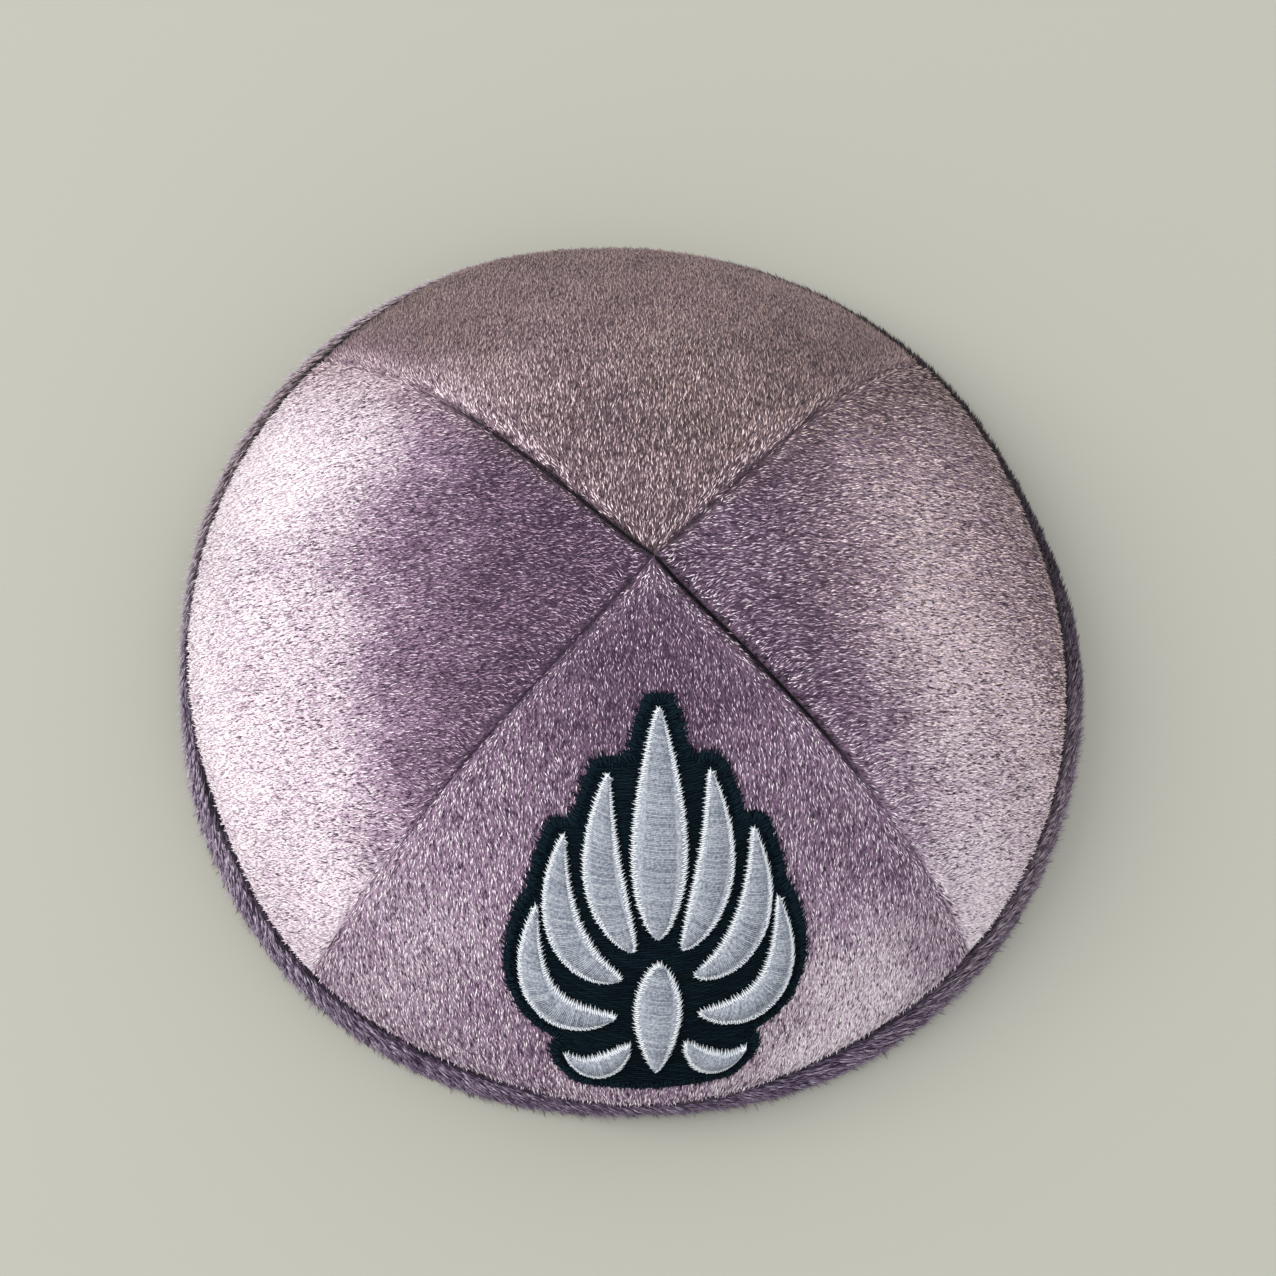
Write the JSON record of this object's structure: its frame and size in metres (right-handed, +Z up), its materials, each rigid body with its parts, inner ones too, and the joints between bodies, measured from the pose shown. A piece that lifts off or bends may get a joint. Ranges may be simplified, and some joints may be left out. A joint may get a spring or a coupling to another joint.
{
  "type": "skullcap",
  "caption": "Shallow velvet skullcap of curved cloth panels with a folded rim binding and a stitched leaf motif, open underneath.",
  "frame": {"origin": "middle of the cap's footprint on the surface that it stands on", "axes": "+Z up through the crown, -Y towards the embroidered front panel, +X to the wearer's left as it is seen from the front"},
  "size_m": [0.1662, 0.1672, 0.058],
  "materials": {
    "velvet": "short mauve pile with a bright sheen where it is seen at a low angle",
    "binding_velvet": "dark violet-grey pile along the rim",
    "dark_thread": "dense blue-black stitching, matt",
    "silver_thread": "blue-grey satin stitching with paler edges"
  },
  "bodies": {
    "root": {"back_panel": "velvet", "embroidery_ground": "dark_thread", "front_panel": "velvet", "leaf_calyx": "silver_thread", "leaf_centre": "silver_thread", "leaf_lower_left": "silver_thread", "leaf_lower_right": "silver_thread", "leaf_middle_left": "silver_thread", "leaf_middle_right": "silver_thread", "leaf_scroll_left": "silver_thread", "leaf_scroll_right": "silver_thread", "leaf_upper_left": "silver_thread", "leaf_upper_right": "silver_thread", "left_panel": "velvet", "right_panel": "velvet", "rim_binding": "binding_velvet"}
  },
  "joints": []
}
